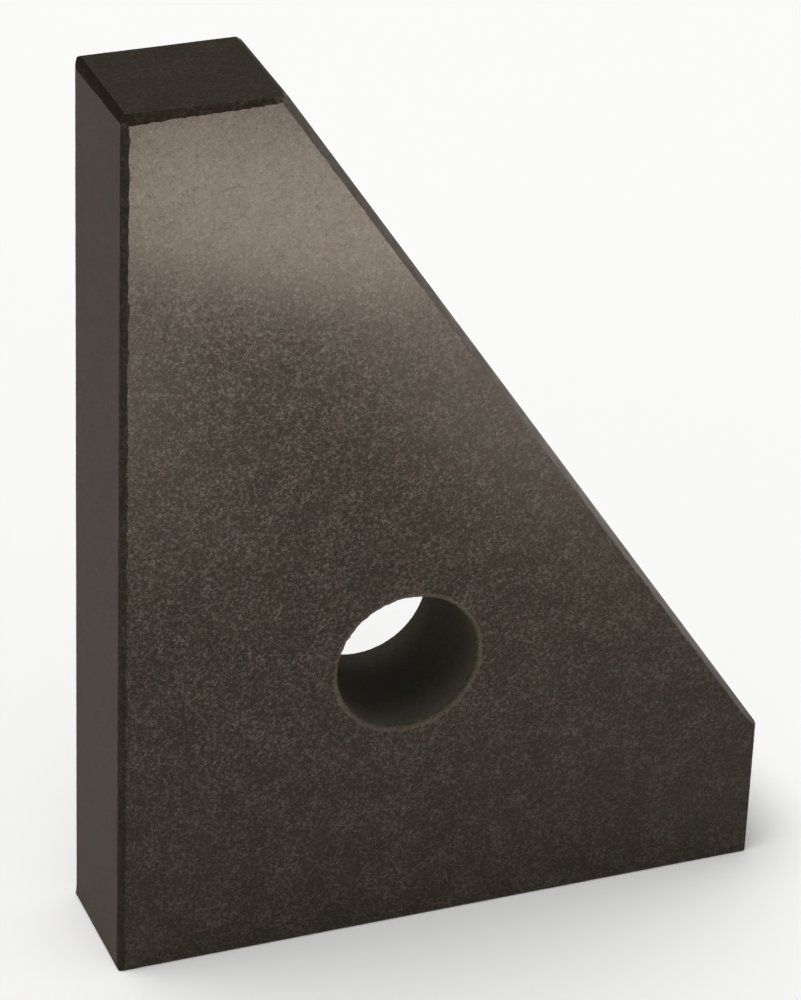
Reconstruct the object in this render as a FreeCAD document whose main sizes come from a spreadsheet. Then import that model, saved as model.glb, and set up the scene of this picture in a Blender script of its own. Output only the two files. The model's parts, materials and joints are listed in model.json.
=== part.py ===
import FreeCAD, Part
import os

import Sketcher

# Granite square, in millimetres: a five-sided block of black granite whose upright face
# and base stand at 90 degrees, with a hand hole bored through it. +X runs along the base
# away from the upright face, +Y runs through the thickness from front to back, +Z is up.
# The origin is the middle of the base.
SIZES = {
    "upright_height": 300.0,    # base to top face, along the upright working face
    "base_length": 220.0,       # upright working face to the nose
    "body_thickness": 47.0,     # front face to back face
    "top_land": 51.0,           # width of the top face, before its edges are broken
    "nose_height": 51.0,        # height of the nose, where the slant comes down
    "bore_diameter": 47.0,
    "bore_setback": 95.5,       # upright face to the bore's axis
    "bore_height": 98.0,        # base to the bore's axis
    "edge_chamfer": 2.3,        # leg of the ground chamfer round the three long faces
    "brow_chamfer": 1.0,        # leg where the top face runs into the slant
    "fine_arris": 0.5,          # leg of the stoned arris round the base and the nose
    "rim_chamfer": 1.0,         # leg of the chamfer round both mouths of the bore
}

doc = FreeCAD.newDocument("GraniteSquare")
sheet = doc.addObject("Spreadsheet::Sheet", "Sizes")
for row, (alias, value) in enumerate(SIZES.items(), start=1):
    sheet.set(f"A{row}", alias)
    sheet.set(f"B{row}", str(value))
    sheet.setAlias(f"B{row}", alias)
doc.recompute()

# Outward directions of the seven flat faces. The slant falls from the top face to the nose,
# so its direction comes from its run and its rise.
slant_run = SIZES["base_length"] - SIZES["top_land"]
slant_rise = SIZES["upright_height"] - SIZES["nose_height"]
FRONT = FreeCAD.Vector(0, -1, 0)
BACK = FreeCAD.Vector(0, 1, 0)
UPRIGHT = FreeCAD.Vector(-1, 0, 0)
NOSE = FreeCAD.Vector(1, 0, 0)
TOP = FreeCAD.Vector(0, 0, 1)
BASE = FreeCAD.Vector(0, 0, -1)
SLANT = FreeCAD.Vector(slant_rise, 0, slant_run)


def is_facing(face, direction):
    """Say whether a face is flat and looks in the given direction."""
    return isinstance(face.Surface, Part.Plane) and face.normalAt(0, 0).getAngle(direction) < 0.001


def borders(shape, edge, direction):
    """Say whether one of the faces that meet at an edge looks in the given direction."""
    return any(is_facing(face, direction) for face in shape.ancestorsOfType(edge, Part.Face))


def edges_between(shape, pairs):
    """Name the edges along which the two faces of any of the pairs meet."""
    return [
        f"Edge{number}"
        for number, edge in enumerate(shape.Edges, start=1)
        if any(borders(shape, edge, first) and borders(shape, edge, second) for first, second in pairs)
    ]


def round_edges(shape):
    """Name the circles in the front and back faces: the two mouths of the bore."""
    return [
        f"Edge{number}"
        for number, edge in enumerate(shape.Edges, start=1)
        if isinstance(edge.Curve, Part.Circle)
        and (borders(shape, edge, FRONT) or borders(shape, edge, BACK))
    ]


def add_sketch(body, name):
    """Start a sketch in the upright plane through the middle of the thickness."""
    plane = next(item for item in body.Origin.OriginFeatures if item.Role == "XZ_Plane")
    sketch = body.newObject("Sketcher::SketchObject", name)
    sketch.AttachmentSupport = [(plane, "")]
    sketch.MapMode = "FlatFace"
    return sketch


def add_dimension(sketch, kind, *places, size):
    """Add a dimension to a sketch and tie it to a cell of the sheet."""
    index = sketch.addConstraint(Sketcher.Constraint(kind, *places, SIZES[size]))
    sketch.renameConstraint(index, size)
    sketch.setExpression(f"Constraints.{size}", f"Sizes.{size}")


def add_base_line(sketch, construction):
    """Draw the base from heel to toe, on the sketch's X axis and centred on its Y axis."""
    half = SIZES["base_length"] / 2
    heel = FreeCAD.Vector(-half, 0, 0)
    toe = FreeCAD.Vector(half, 0, 0)
    line = sketch.addGeometry(Part.LineSegment(heel, toe), construction)
    sketch.addConstraint(Sketcher.Constraint("Horizontal", line))
    sketch.addConstraint(Sketcher.Constraint("Symmetric", line, 1, line, 2, -1, 1))
    add_dimension(sketch, "DistanceX", line, 1, line, 2, size="base_length")
    return line


def add_chamfer(body, name, pick, size):
    """Break the edges that pick finds on the body so far by a chamfer of a named size."""
    earlier = body.Tip
    chamfer = body.newObject("PartDesign::Chamfer", name)
    chamfer.Base = (earlier, pick(earlier.Shape))
    chamfer.setExpression("Size", f"Sizes.{size}")
    doc.recompute()
    return chamfer


def make_granite_square():
    """Model the square as it is made: sawn outline, core-drilled bore, then ground edges."""
    body = doc.addObject("PartDesign::Body", "GraniteSquareBody")
    body.Label = "granite_square"

    outline = add_sketch(body, "Outline")
    half = SIZES["base_length"] / 2
    height = SIZES["upright_height"]
    brow = SIZES["top_land"] - half
    corners = [(half, 0), (half, SIZES["nose_height"]), (brow, height), (-half, height), (-half, 0)]
    points = [FreeCAD.Vector(across, up, 0) for across, up in corners]
    base = add_base_line(outline, construction=False)
    nose, slant, top, upright = [
        outline.addGeometry(Part.LineSegment(start, end), False) for start, end in zip(points, points[1:])
    ]
    ring = [base, nose, slant, top, upright]
    for line, following in zip(ring, ring[1:] + ring[:1]):
        outline.addConstraint(Sketcher.Constraint("Coincident", line, 2, following, 1))
    outline.addConstraint(Sketcher.Constraint("Vertical", nose))
    outline.addConstraint(Sketcher.Constraint("Vertical", upright))
    outline.addConstraint(Sketcher.Constraint("Horizontal", top))
    add_dimension(outline, "DistanceY", upright, 2, upright, 1, size="upright_height")
    add_dimension(outline, "DistanceX", top, 2, top, 1, size="top_land")
    add_dimension(outline, "DistanceY", nose, 1, nose, 2, size="nose_height")

    block = body.newObject("PartDesign::Pad", "Block")
    block.Profile = outline
    block.SideType = "Symmetric"
    block.setExpression("Length", "Sizes.body_thickness")
    doc.recompute()

    core = add_sketch(body, "Core")
    datum = add_base_line(core, construction=True)
    centre = FreeCAD.Vector(SIZES["bore_setback"] - half, SIZES["bore_height"], 0)
    axis = FreeCAD.Vector(0, 0, 1)
    circle = core.addGeometry(Part.Circle(centre, axis, SIZES["bore_diameter"] / 2), False)
    add_dimension(core, "DistanceX", datum, 1, circle, 3, size="bore_setback")
    add_dimension(core, "DistanceY", datum, 1, circle, 3, size="bore_height")
    add_dimension(core, "Diameter", circle, size="bore_diameter")

    bore = body.newObject("PartDesign::Pocket", "Bore")
    bore.Profile = core
    bore.Type = "ThroughAll"
    bore.SideType = "Symmetric"
    doc.recompute()

    # The wide chamfer runs round the upright face, the top face and the slant, front and back.
    long_edges = [(side, face) for side in (FRONT, BACK) for face in (UPRIGHT, TOP, SLANT)]
    long_edges.append((UPRIGHT, TOP))
    add_chamfer(body, "GroundEdges", lambda shape: edges_between(shape, long_edges), "edge_chamfer")
    add_chamfer(body, "Brow", lambda shape: edges_between(shape, [(TOP, SLANT)]), "brow_chamfer")

    # The base and the nose are only stoned, so that the measuring edges stay almost sharp.
    fine_edges = [(side, face) for side in (FRONT, BACK) for face in (BASE, NOSE)]
    fine_edges += [(BASE, UPRIGHT), (BASE, NOSE), (NOSE, SLANT)]
    add_chamfer(body, "FineArris", lambda shape: edges_between(shape, fine_edges), "fine_arris")
    add_chamfer(body, "BoreRims", round_edges, "rim_chamfer")
    return body


pieces = [make_granite_square()]

for item in doc.Objects:
    if "Invalid" in item.State or "Error" in item.State:
        raise RuntimeError(f"{item.Name} failed: {item.State}")
for piece in pieces:
    if piece.Shape.isNull() or not piece.Shape.isValid():
        raise RuntimeError(f"{piece.Label} has no sound shape")

os.makedirs("parts", exist_ok=True)
for piece in pieces:
    piece.Shape.exportStep(f"parts/{piece.Label}.step")
    print(piece.Label, round(piece.Shape.Volume, 1), "mm3", piece.Shape.BoundBox)
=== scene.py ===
import json
import math

import bmesh
import bpy
from mathutils import Matrix, Vector, geometry


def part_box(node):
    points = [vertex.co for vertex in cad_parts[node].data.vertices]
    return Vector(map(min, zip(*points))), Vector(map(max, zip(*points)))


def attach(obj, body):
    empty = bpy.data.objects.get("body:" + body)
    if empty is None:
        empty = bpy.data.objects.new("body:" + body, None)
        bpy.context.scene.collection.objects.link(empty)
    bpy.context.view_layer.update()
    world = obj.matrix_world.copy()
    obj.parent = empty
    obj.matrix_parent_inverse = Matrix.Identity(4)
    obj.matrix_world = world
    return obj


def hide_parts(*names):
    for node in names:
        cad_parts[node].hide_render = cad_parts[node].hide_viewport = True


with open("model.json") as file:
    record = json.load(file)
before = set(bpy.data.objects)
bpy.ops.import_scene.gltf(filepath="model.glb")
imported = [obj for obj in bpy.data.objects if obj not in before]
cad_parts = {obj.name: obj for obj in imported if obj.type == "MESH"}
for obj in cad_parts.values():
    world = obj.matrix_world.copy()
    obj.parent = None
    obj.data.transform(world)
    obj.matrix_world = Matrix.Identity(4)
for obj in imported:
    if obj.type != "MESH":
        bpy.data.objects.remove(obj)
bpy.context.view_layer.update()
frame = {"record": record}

# The blank. One piece of black granite, sawn to its five-sided outline, with the hand hole cored
# through it. It stands on the planes of the CAD solid, which gives its length, thickness and height.
MM = 0.001
low, high = (Vector(corner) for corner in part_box("granite_square"))
length, thickness, height = high - low
top_land = 51 * MM
nose_height = 51 * MM
bore = next(mount for mount in frame["record"]["mounts"] if mount["name"] == "hand_bore")
bore_centre = Vector(bore["pos_m"])
bore_radius = bore["dims"]["r_mm"] * MM

# The brow is the line where the top face runs into the slant.
brow = Vector((low.x + top_land, 0, high.z))
facing = {
    "front": Vector((0, -1, 0)),
    "back": Vector((0, 1, 0)),
    "upright": Vector((-1, 0, 0)),
    "nose": Vector((1, 0, 0)),
    "top": Vector((0, 0, 1)),
    "base": Vector((0, 0, -1)),
    "slant": Vector((height - nose_height, 0, length - top_land)).normalized(),
}
on_face = {
    "front": low,
    "back": high,
    "upright": low,
    "nose": high,
    "top": high,
    "base": low,
    "slant": brow,
}

bpy.ops.object.select_all(action="DESELECT")
bpy.ops.mesh.primitive_cube_add(size=1, location=(0, 0, height / 2))
block = bpy.context.object
block.name = "granite_block"
block.scale = (length, thickness, height)
bpy.ops.object.transform_apply(location=True, rotation=True, scale=True)
bpy.ops.object.mode_set(mode="EDIT")
bpy.ops.mesh.select_all(action="SELECT")
bpy.ops.mesh.bisect(plane_co=brow, plane_no=facing["slant"], use_fill=True, clear_outer=True)
bpy.ops.object.mode_set(mode="OBJECT")


def cut_away(cutter):
    """Take the cutter's volume off the block, then throw the cutter away."""
    bpy.ops.object.select_all(action="DESELECT")
    block.select_set(True)
    bpy.context.view_layer.objects.active = block
    cut = block.modifiers.new("cut", "BOOLEAN")
    cut.object = cutter
    cut.operation = "DIFFERENCE"
    cut.solver = "MANIFOLD"
    bpy.ops.object.modifier_apply(modifier="cut")
    bpy.data.objects.remove(cutter)


bpy.ops.mesh.primitive_cylinder_add(
    vertices=256,
    radius=bore_radius,
    depth=2 * thickness,
    location=bore_centre,
    rotation=(math.pi / 2, 0, 0),
)
cut_away(bpy.context.object)

# The edges. A hand stone run along each arris leaves a chamfer that wanders in width, follows the
# grains and has small chips along its lines. The long chamfers fade out at the foot and the nose.
wander = bpy.data.textures.new("hand_wander", "CLOUDS")
wander.noise_scale = 25 * MM
ripple = bpy.data.textures.new("stone_ripple", "CLOUDS")
ripple.noise_scale = 2.2 * MM
chips = bpy.data.textures.new("grain_chips", "CLOUDS")
chips.noise_scale = 1.3 * MM
chips.noise_depth = 0
chips.contrast = 4
chips.intensity = 0.6


def make_uneven(cutter, amounts):
    """Give a cutter the wander of the hand, the ripple of the stone and the chips of the grain."""
    for texture, amount, middle in zip((wander, ripple, chips), amounts, (0.5, 0.5, 0)):
        uneven = cutter.modifiers.new("uneven", "DISPLACE")
        uneven.texture = texture
        uneven.texture_coords = "LOCAL"
        uneven.mid_level = middle
        uneven.strength = -amount
        bpy.ops.object.modifier_apply(modifier="uneven")


def corner_of(first, second, third):
    """The sharp corner at which three faces of the blank meet."""
    point, along = geometry.intersect_plane_plane(
        on_face[first], facing[first], on_face[second], facing[second]
    )
    return geometry.intersect_line_plane(point, point + along, on_face[third], facing[third])


def subdivide_edges(mesh, wanted, cuts):
    """Subdivide the edges whose direction is wanted."""
    bpy.ops.mesh.select_all(action="DESELECT")
    shape = bmesh.from_edit_mesh(mesh)
    for edge in shape.edges:
        if wanted((edge.verts[1].co - edge.verts[0].co).normalized()):
            edge.select_set(True)
    bmesh.update_edit_mesh(mesh)
    bpy.ops.mesh.subdivide(number_cuts=cuts)


def pull(mesh, wanted, way, falloff, reach):
    """Move the wanted vertices, with those within reach following them."""
    bpy.ops.mesh.select_all(action="DESELECT")
    shape = bmesh.from_edit_mesh(mesh)
    for vertex in shape.verts:
        vertex.select_set(wanted(vertex.co))
    bmesh.update_edit_mesh(mesh)
    bpy.ops.transform.translate(
        value=way,
        use_proportional_edit=True,
        proportional_edit_falloff=falloff,
        proportional_size=reach,
    )


touching = 0.05 * MM


def on_line(point, start, stop):
    """Tell whether a point lies on the line between two others."""
    return (point - geometry.intersect_point_line(point, start, stop)[0]).length < touching


def stone_edge(first, second, begin, end, widths, amounts, bulge=0, lift=0, fade=0):
    """Cut the chamfer between two faces. The widths are its reach over each face, at both ends.

    A bulge leaves its middle proud, as a stone rocked by hand does. With a lift the cutter rises off
    the block over the last stretch, so that the chamfer fades out.
    """
    start, stop = corner_of(first, second, begin), corner_of(first, second, end)
    along = (stop - start).normalized()
    across_first = along.cross(facing[first])
    across_first *= -math.copysign(1, across_first.dot(facing[second]))
    across_second = along.cross(facing[second])
    across_second *= -math.copysign(1, across_second.dot(facing[first]))
    outward = (facing[first] + facing[second]).normalized()
    overrun = 1.5 * MM
    cell = 0.6 * MM
    cuts_across = 15
    past_block = 8 * MM
    bpy.ops.mesh.primitive_plane_add(size=1)
    cutter = bpy.context.object
    corners = []
    for point, reach, way in ((start, widths[0], -1), (stop, widths[1], 1)):
        edge_first = point + across_first * reach[0] * MM
        edge_second = point + across_second * reach[1] * MM
        past = (edge_second - edge_first).normalized() * overrun
        beyond = along * overrun * way
        corners.append((edge_first - past + beyond, edge_second + past + beyond))
    (near_first, near_second), (far_first, far_second) = corners
    for vertex, place in zip(cutter.data.vertices, (near_first, far_first, near_second, far_second)):
        vertex.co = place
    bpy.ops.object.mode_set(mode="EDIT")
    bpy.ops.mesh.select_mode(type="EDGE")
    cuts_along = round((stop - start).length / cell)
    nearly_along = 0.9
    subdivide_edges(cutter.data, lambda way: abs(way.dot(along)) > nearly_along, cuts_along)
    subdivide_edges(cutter.data, lambda way: abs(way.dot(along)) < nearly_along, cuts_across)
    if bulge:
        middle = (near_first + near_second) / 2
        middle_end = (far_first + far_second) / 2
        half_band = (near_second - near_first).length / 2 - overrun
        rise = outward * bulge * MM
        pull(cutter.data, lambda p: on_line(p, middle, middle_end), rise, "SPHERE", half_band)
    if lift:
        rise = outward * lift * MM
        pull(cutter.data, lambda p: (p - stop).dot(along) > 0, rise, "SHARP", fade * MM)
    bpy.ops.mesh.select_all(action="SELECT")
    bpy.ops.mesh.normals_make_consistent(inside=False)
    shape = bmesh.from_edit_mesh(cutter.data)
    shape.faces.ensure_lookup_table()
    if shape.faces[0].normal.dot(outward) < 0:
        bpy.ops.mesh.flip_normals()
    bpy.ops.object.mode_set(mode="OBJECT")
    make_uneven(cutter, amounts)
    bpy.ops.object.mode_set(mode="EDIT")
    bpy.ops.mesh.select_all(action="SELECT")
    bpy.ops.mesh.extrude_region_move(TRANSFORM_OT_translate={"value": outward * past_block})
    bpy.ops.mesh.select_all(action="SELECT")
    bpy.ops.mesh.normals_make_consistent(inside=False)
    bpy.ops.object.mode_set(mode="OBJECT")
    cut_away(cutter)


# Each row: the two faces, the faces at its ends, its widths in mm, how uneven it is, and its bulge,
# lift and fading stretch in mm.
chamfer_amounts = (0.15 * MM, 0.03 * MM, 0.08 * MM)
smooth_amounts = (0.1 * MM, 0.01 * MM, 0.02 * MM)
for first, second, begin, end, widths, amounts, bulge, lift, fade in (
    ("front", "upright", "top", "base", ((2.7, 2.7), (2.7, 2.7)), chamfer_amounts, 0.7, 1.2, 5),
    ("front", "top", "upright", "slant", ((2.9, 3.2), (2.1, 2.0)), chamfer_amounts, 0.5, 0, 0),
    ("upright", "top", "front", "back", ((2.9, 2.0), (3.8, 1.7)), smooth_amounts, 0.5, 0, 0),
    ("front", "slant", "top", "nose", ((2.7, 2.6), (1.9, 2.1)), chamfer_amounts, 0.2, 0.7, 10),
    ("back", "slant", "top", "nose", ((2.6, 2.6), (2.2, 2.2)), smooth_amounts, 0.2, 0.7, 10),
    ("back", "upright", "top", "base", ((2.0, 2.0), (2.3, 2.3)), smooth_amounts, 0.25, 1.2, 5),
    ("back", "top", "upright", "slant", ((2.0, 2.0), (2.0, 2.0)), smooth_amounts, 0.25, 0, 0),
    ("top", "slant", "front", "back", ((1.0, 1.0), (1.0, 1.0)), smooth_amounts, 0.0, 0, 0),
):
    stone_edge(first, second, begin, end, widths, amounts, bulge, lift, fade)

# The edges round the base and the nose are only just broken, with a few strokes of the stone.
arris_amounts = (0.02 * MM, 0.01 * MM, 0.03 * MM)
arris = ((0.5, 0.5), (0.5, 0.5))
for first, second in (("slant", "nose"), ("nose", "base"), ("base", "upright")):
    stone_edge(first, second, "front", "back", arris, arris_amounts)
for side in ("front", "back"):
    stone_edge(side, "base", "upright", "nose", arris, arris_amounts)
    stone_edge(side, "nose", "base", "slant", arris, arris_amounts)

# The rims of the bore. A coned stone turned by hand rounds them in three passes, from flat to steep.
# The front rim is the chipped one. Each pass has its reach over the face and its sink, in mm.
rim_amounts = (-0.08 * MM, -0.04 * MM, -0.1 * MM)
smooth_rim_amounts = (-0.04 * MM, -0.01 * MM, -0.02 * MM)
for side, amounts in (("front", rim_amounts), ("back", smooth_rim_amounts)):
    for reach, sink in ((1.8, 0.5), (1.0, 1.0), (0.5, 1.8)):
        slope = reach / sink
        spare = 0.4
        cuts_across = 7
        outside, inside = 1.0 * MM, (sink + spare) * MM
        way = facing[side].y
        bpy.ops.mesh.primitive_cone_add(
            vertices=300,
            radius1=bore_radius - spare * slope * MM,
            radius2=bore_radius + reach * MM + outside * slope,
            depth=outside + inside,
            rotation=(-math.pi / 2 * way, 0, 0),
            location=(bore_centre.x, on_face[side].y + way * (outside - inside) / 2, bore_centre.z),
        )
        rim_cutter = bpy.context.object
        bpy.ops.object.transform_apply(location=True, rotation=True, scale=True)
        bpy.ops.object.mode_set(mode="EDIT")
        bpy.ops.mesh.select_mode(type="EDGE")
        subdivide_edges(rim_cutter.data, lambda way: abs(way.y) > 0.2, cuts_across)
        bpy.ops.object.mode_set(mode="OBJECT")
        make_uneven(rim_cutter, amounts)
        cut_away(rim_cutter)

bpy.ops.object.select_all(action="DESELECT")
block.select_set(True)
bpy.context.view_layer.objects.active = block
bpy.ops.object.shade_smooth_by_angle(angle=math.radians(35))


# The finish. Black granite, a fine-grained diabase: dark pyroxene with a felt of pale feldspar
# needles 1.5 to 2 mm long. Its front and back are lapped to a satin. The five edge faces are matt.
# The upright face and the base are painted in lighter, warmer colours than the top, nose and slant,
# with the same roughness: painted light for the warm light on the upright face.
def srgb(code):
    """Turn an sRGB hex colour into linear values."""
    parts = [int(code[place : place + 2], 16) / 255 for place in (1, 3, 5)]
    return tuple(p / 12.92 if p <= 0.04045 else ((p + 0.055) / 1.055) ** 2.4 for p in parts) + (1.0,)


def add_node(owner, kind, settings, inputs):
    """Add a node to a material or lamp, with its inputs as values or as links from sockets."""
    node = owner.node_tree.nodes.new(kind)
    for name, value in settings.items():
        setattr(node, name, value)
    for name, value in inputs.items():
        if isinstance(value, bpy.types.NodeSocket):
            owner.node_tree.links.new(value, node.inputs[name])
        else:
            node.inputs[name].default_value = value
    return node


def granite(name, dark, middle, pale, roughness, rough_grain, relief, specular, wiped=0.0):
    """Make one finish of the stone: the same felt of grains under another surface.

    The colours are those of the dark, middling and pale grains. The roughness runs from the dark
    grains to the pale ones, the relief is in mm, and wiped is what the streaks of a cloth add.
    """
    stone = bpy.data.materials.new(name)
    stone.use_nodes = True
    place = add_node(stone, "ShaderNodeTexCoord", {}, {}).outputs["Object"]

    def noise(where, size, **inputs):
        """Add a noise whose patches are about size mm."""
        inputs = {"Vector": where, "Scale": 1 / (size * MM), **inputs}
        return add_node(stone, "ShaderNodeTexNoise", {}, inputs)

    def reckon(operation, first, second):
        """Add one step of arithmetic."""
        inputs = {0: first, 1: second}
        return add_node(stone, "ShaderNodeMath", {"operation": operation}, inputs).outputs[0]

    def spread(value, start, stop, to_start, to_stop):
        """Map the values from start to stop onto another range."""
        limits = {"From Min": start, "From Max": stop, "To Min": to_start, "To Max": to_stop}
        return add_node(stone, "ShaderNodeMapRange", {}, {"Value": value, **limits}).outputs["Result"]

    # The dark grains between the needles are about 1 mm. The needles are the lines where a noise
    # crosses its middle value, broken into lengths. They are drawn slightly coarser than real ones
    # so that they show. Half of them lie in a bent space, so that they cross the others.
    bend = noise(place, 3.0, Detail=0.0).outputs["Color"]
    bend_by = (5 * MM,) * 3
    bent = add_node(
        stone, "ShaderNodeVectorMath", {"operation": "MULTIPLY_ADD"}, {0: bend, 1: bend_by, 2: place}
    ).outputs["Vector"]
    body = noise(place, 1.05, Detail=2.0, Roughness=0.8, Distortion=0.5).outputs["Fac"]
    needles = 0.0
    for where, size, width, rise in (
        (place, 2.0, 0.04, 0.12),
        (bent, 1.4, 0.05, 0.12),
        (place, 3.6, 0.018, 0.2),
        (bent, 4.4, 0.015, 0.2),
    ):
        line = noise(where, size, Detail=1.0, Distortion=2.0).outputs["Fac"]
        away = reckon("ABSOLUTE", reckon("SUBTRACT", line, 0.5), 0)
        gaps = noise(where, 2.0 + size * 0.1, Detail=0.0).outputs["Fac"]
        broken = spread(gaps, 0.4, 0.6, 0.0, 1.0)
        needle = reckon("MULTIPLY", spread(away, width, 0.0, 0.0, rise), broken)
        needles = reckon("ADD", needle, needles)
    bumps = reckon("ADD", reckon("MULTIPLY", body, 0.1), needles)
    grain = reckon("ADD", spread(body, 0.3, 0.7, 0.05, 0.8), needles)
    # The grains are painted with most contrast on the left of the front face, under the top, and with
    # less away from there. This is painted light: the contrast follows the strongest light on the
    # face, not the stone.
    painted_light_peak = (-0.08, -0.02, 0.19)
    from_painted_light_peak = add_node(
        stone, "ShaderNodeVectorMath", {"operation": "DISTANCE"}, {0: place, 1: painted_light_peak}
    ).outputs["Value"]
    contrast = spread(from_painted_light_peak, 0.02, 0.2, 0.67, 0.36)
    grain = reckon("ADD", reckon("MULTIPLY", reckon("SUBTRACT", grain, 0.5), contrast), 0.5)
    # Clouds of 12 mm in the tone and of 7 mm between greenish and reddish, as in the quarried stone.
    mottle = noise(place, 12.0, Detail=2.0, Roughness=0.6)
    tone = spread(mottle.outputs["Fac"], 0.35, 0.65, -0.035, 0.035)
    grain = reckon("ADD", grain, tone)
    ramp = add_node(stone, "ShaderNodeValToRGB", {}, {"Fac": grain})
    ramp.color_ramp.elements[0].position = 0.2
    ramp.color_ramp.elements[0].color = srgb(dark)
    ramp.color_ramp.elements[1].position = 0.78
    ramp.color_ramp.elements[1].color = srgb(pale)
    ramp.color_ramp.elements.new(0.47).color = srgb(middle)
    hue = noise(place, 7.0, Detail=1.0).outputs["Fac"]
    tint = add_node(stone, "ShaderNodeValToRGB", {}, {"Fac": hue})
    tint.color_ramp.elements[0].position = 0.35
    tint.color_ramp.elements[0].color = (0.94, 1.0, 0.9, 1)
    tint.color_ramp.elements[1].position = 0.65
    tint.color_ramp.elements[1].color = (1.05, 0.98, 0.99, 1)
    colour = add_node(
        stone,
        "ShaderNodeMix",
        {"data_type": "RGBA", "blend_type": "MULTIPLY"},
        {0: 1.0, 6: ramp.outputs["Color"], 7: tint.outputs["Color"]},
    ).outputs[2]
    bump = add_node(
        stone, "ShaderNodeBump", {}, {"Strength": 1.0, "Distance": relief * MM, "Height": bumps}
    )
    shader = stone.node_tree.nodes["Principled BSDF"]
    links = stone.node_tree.links
    links.new(colour, shader.inputs["Base Color"])
    # Upright streaks 1.6 mm wide and twenty times as long, where the face was wiped.
    upright = (1.0, 1.0, 0.05)
    drawn_out = add_node(
        stone, "ShaderNodeVectorMath", {"operation": "MULTIPLY"}, {0: place, 1: upright}
    ).outputs["Vector"]
    streaks = spread(noise(drawn_out, 1.6, Detail=1.0).outputs["Fac"], 0.5, 0.7, 0.0, wiped)
    rough = reckon("ADD", spread(grain, 0.3, 0.7, roughness, rough_grain), streaks)
    links.new(rough, shader.inputs["Roughness"])
    links.new(bump.outputs["Normal"], shader.inputs["Normal"])
    shader.inputs["Specular IOR Level"].default_value = specular
    shader.inputs["Specular Tint"].default_value = srgb("#fff3e4")
    return stone


# Each row: the colours of the grains, roughness from and to, relief, specular level and wiping. The
# lapped sides mirror a lamp softly, and the honed slope, which is the slant's chamfer, has a faint
# shine. The matt faces only scatter light; the upright face and the base carry painted light in their
# lighter, warmer colours. The cored wall is chalky with stone dust, the rim of the bore is painted
# paler all round as a painted highlight along its chamfer, and the brow over the upright face is
# rubbed dull.
block.data.materials.clear()
for finish in (
    ("granite_stoned_edge", "#0d0a06", "#1b160f", "#38322a", 0.5, 0.55, 0.02, 0.12),
    ("granite_lapped_side", "#060402", "#1f1912", "#48443f", 0.09, 0.13, 0.022, 0.24, 0.015),
    # The upright face's and the base's lighter, warmer grain colours are painted light, for the warm
    # light the upright face catches.
    ("granite_lapped_edge", "#201810", "#33261b", "#4e3d2e", 0.55, 0.6, 0.01, 0.125),
    ("granite_ground_end", "#130f09", "#241e14", "#3f392a", 0.55, 0.6, 0.01, 0.16),
    ("granite_honed_slope", "#191511", "#25201c", "#4a4440", 0.35, 0.4, 0.03, 0.3),
    ("granite_cored_bore", "#403c36", "#48443d", "#504d44", 0.9, 0.9, 0.01, 0.0),
    # The rim's paler colours are a painted highlight for the light along the bore's chamfer.
    ("granite_bruised_rim", "#2a2620", "#38332c", "#4e4841", 0.7, 0.7, 0.02, 0.1),
    ("granite_rubbed_brow", "#16110b", "#1f1910", "#2f2a20", 0.7, 0.7, 0.01, 0.03),
):
    block.data.materials.append(granite(*finish))

# The first finish stays on every chamfer that gets no other.
lapped_side, lapped_edge_painted_light, ground_end, honed_slope, cored_bore, pale_rim_painted_highlight, rubbed_brow = range(1, 8)

# The corners of a flat face keep to its plane. Those of a chamfer lie within the widest one's reach.
on_plane = 0.002 * MM
widest = 4.2 * MM


def off(point, side):
    """Say how far a point lies from the plane of a face."""
    return abs((point - on_face[side]).dot(facing[side]))


def from_bore(point):
    """Say how far from the bore's axis a point lies."""
    return math.hypot(point.x - bore_centre.x, point.z - bore_centre.z)


def give_finish(slot, belongs, flat=False):
    """Put one finish on the faces whose corners all belong to it."""
    bpy.ops.mesh.select_all(action="DESELECT")
    shape = bmesh.from_edit_mesh(block.data)
    for face in shape.faces:
        face.select_set(belongs([vertex.co for vertex in face.verts]))
    bmesh.update_edit_mesh(block.data)
    block.active_material_index = slot
    bpy.ops.object.material_slot_assign()
    if flat:
        bpy.ops.mesh.faces_shade_flat()


def near_edge(corners, first, second):
    """Tell whether a face lies in the chamfer between two faces of the blank."""
    return all(off(point, first) < widest and off(point, second) < widest for point in corners)


def on_wall(corners):
    """Tell whether a face lies on the cored wall of the bore."""
    return all(abs(from_bore(point) - bore_radius) < touching for point in corners)


bpy.ops.object.mode_set(mode="EDIT")
bpy.ops.mesh.select_mode(type="FACE")
for side in ("front", "back"):
    give_finish(honed_slope, lambda corners: near_edge(corners, side, "slant"))
# The faces round the bore's mouths get the paler rim finish, a painted highlight.
give_finish(pale_rim_painted_highlight, lambda corners: all(from_bore(p) < bore_radius + widest for p in corners))
give_finish(rubbed_brow, lambda corners: near_edge(corners, "upright", "top"))
give_finish(cored_bore, on_wall, flat=True)
for slot, sides in (
    (lapped_side, ("front", "back")),
    # The upright face and the base get the lighter, warmer copy of the matt finish, which is painted
    # light.
    (lapped_edge_painted_light, ("upright", "base")),
    (ground_end, ("nose", "top", "slant")),
):
    for side in sides:
        give_finish(slot, lambda corners: all(off(p, side) < on_plane for p in corners), flat=True)
bpy.ops.object.mode_set(mode="OBJECT")

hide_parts("granite_square")
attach(block, "root")

# The floor is a plain sheet of matt white paper.
bpy.ops.object.select_all(action="DESELECT")
bpy.ops.mesh.primitive_plane_add(size=12, location=(0, 0, 0))
floor = bpy.context.object
floor.name = "floor"
paper = bpy.data.materials.new("white_paper")
paper.use_nodes = True
paper.node_tree.nodes["Principled BSDF"].inputs["Base Color"].default_value = srgb("#fdfdfb")
paper.node_tree.nodes["Principled BSDF"].inputs["Roughness"].default_value = 0.9
floor.data.materials.append(paper)

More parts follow.
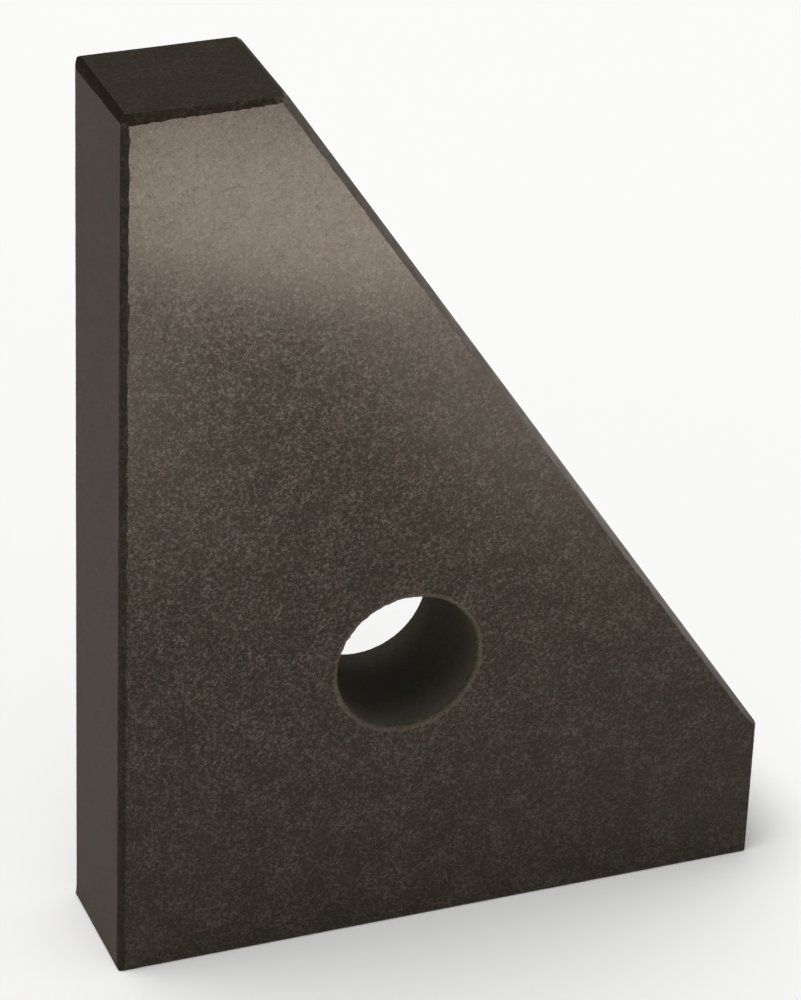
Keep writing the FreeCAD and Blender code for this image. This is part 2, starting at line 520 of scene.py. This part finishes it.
# The light. A dim room, one very wide soft light overhead and two soft lamps to the right, which
# light the chamfer of the slant. Three soft lamps lie face up in front of the square, and their
# blurred reflection is the pale patch high on its side. A spot low in front lifts the whole side.
world = bpy.data.worlds.new("studio")
bpy.context.scene.world = world
world.use_nodes = True
world.node_tree.nodes["Background"].inputs["Color"].default_value = (1, 1, 1, 1)
world.node_tree.nodes["Background"].inputs["Strength"].default_value = 0.43


def hang_lamp(lamp, place, target):
    """Hang a lamp at a place, aimed at a target, out of the camera's sight."""
    holder = bpy.data.objects.new(lamp.name, lamp)
    holder.location = place
    holder.rotation_euler = (Vector(target) - Vector(place)).to_track_quat("-Z", "Y").to_euler()
    holder.visible_camera = False
    bpy.context.collection.objects.link(holder)


overhead = bpy.data.lights.new("overhead_light", "SUN")
overhead.energy = 1.79
overhead.angle = math.radians(40)
hang_lamp(overhead, (-0.5, 0, 2), (0, 0, 0))

for name, width, depth, level, place, target in (
    ("right_softbox", 1.0, 0.3, 0.8, (2.0, 0.0, 0.16), (0, 0, 0.15)),
    ("right_low_lamp", 1.0, 1.0, 3.5, (1.0, 0.0, 0.02), (1.0, 0.0, 1.0)),
):
    side_lamp = bpy.data.lights.new(name, "AREA")
    side_lamp.shape = "RECTANGLE"
    side_lamp.size, side_lamp.size_y = width, depth
    side_lamp.energy = level * math.pi * width * depth
    side_lamp.color = srgb("#f6eee8")[:3]
    hang_lamp(side_lamp, place, target)

# The stops give how bright such a lamp is from its middle, 0, to its edge, 0.5. The three lamps
# overlap, so each lies at its own height.
core_stops = (
    (0, 1),
    (0.07, 0.9),
    (0.13, 0.17),
    (0.17, 0.06),
    (0.25, 0.022),
    (0.35, 0.008),
    (0.5, 0),
    (1, 0),
)
glow_stops = ((0, 1), (0.1, 0.85), (0.2, 0.53), (0.3, 0.24), (0.4, 0.08), (0.5, 0), (1, 0))
for name, x, y, z, width, depth, turn, level, stops in (
    ("low_round_lamp", 0.118, -0.5, 0.020, 0.8, 1.0, 0.8, 11.5, core_stops),
    ("right_glow", 0.15, -0.332, 0.016, 0.22, 0.45, 0.0, 3.06, glow_stops),
    ("left_glow", -0.03, -0.43, 0.012, 0.24, 0.52, 0.0, 4.0, glow_stops),
):
    low_lamp = bpy.data.lights.new(name, "AREA")
    low_lamp.shape = "ELLIPSE"
    low_lamp.size, low_lamp.size_y = width, depth
    low_lamp.energy = math.pi * math.pi / 4 * width * depth
    low_lamp.color = srgb("#fff6f0")[:3]
    low_lamp.use_nodes = True
    on_lamp = add_node(low_lamp, "ShaderNodeNewGeometry", {}, {}).outputs["Parametric"]
    from_middle = add_node(
        low_lamp, "ShaderNodeVectorMath", {"operation": "DISTANCE"}, {0: on_lamp, 1: (0.5, 0.5, 0)}
    ).outputs["Value"]
    fade = add_node(low_lamp, "ShaderNodeFloatCurve", {}, {"Value": from_middle})
    curve = fade.mapping.curves[0]
    for distance, share in stops[1:-1]:
        curve.points.new(distance, share)
    curve.points[0].location = stops[0]
    curve.points[-1].location = stops[-1]
    fade.mapping.update()
    glow = add_node(
        low_lamp, "ShaderNodeMath", {"operation": "MULTIPLY"}, {0: fade.outputs["Value"], 1: level}
    ).outputs["Value"]
    low_lamp.node_tree.links.new(glow, low_lamp.node_tree.nodes["Emission"].inputs["Strength"])
    hang_lamp(low_lamp, (x, y, z), (x, y, 1))
    bpy.data.objects[name].rotation_euler.rotate_axis("Z", turn)

spot = bpy.data.lights.new("low_spot", "SPOT")
spot.energy = 58.0
spot.spot_size = math.radians(36)
spot.spot_blend = 1.0
spot.shadow_soft_size = 0.1
hang_lamp(spot, (0.1, -1.1, 0.02), (-0.02, 0, 0.23))

# The camera stands to the left of the square and above it, at the place fitted to the photograph.
view = bpy.data.cameras.new("camera")
view.sensor_width = 36
view.lens = 164.2
camera = bpy.data.objects.new("camera", view)
camera.location = (-0.47766, -1.15205, 0.86074)
camera.rotation_euler = (
    Matrix.Rotation(math.radians(-22.098), 3, "Z")
    @ Matrix.Rotation(math.radians(60.028), 3, "X")
    @ Matrix.Rotation(math.radians(2.272), 3, "Z")
).to_euler()
bpy.context.collection.objects.link(camera)
bpy.context.scene.camera = camera
bpy.context.scene.view_settings.view_transform = "Standard"
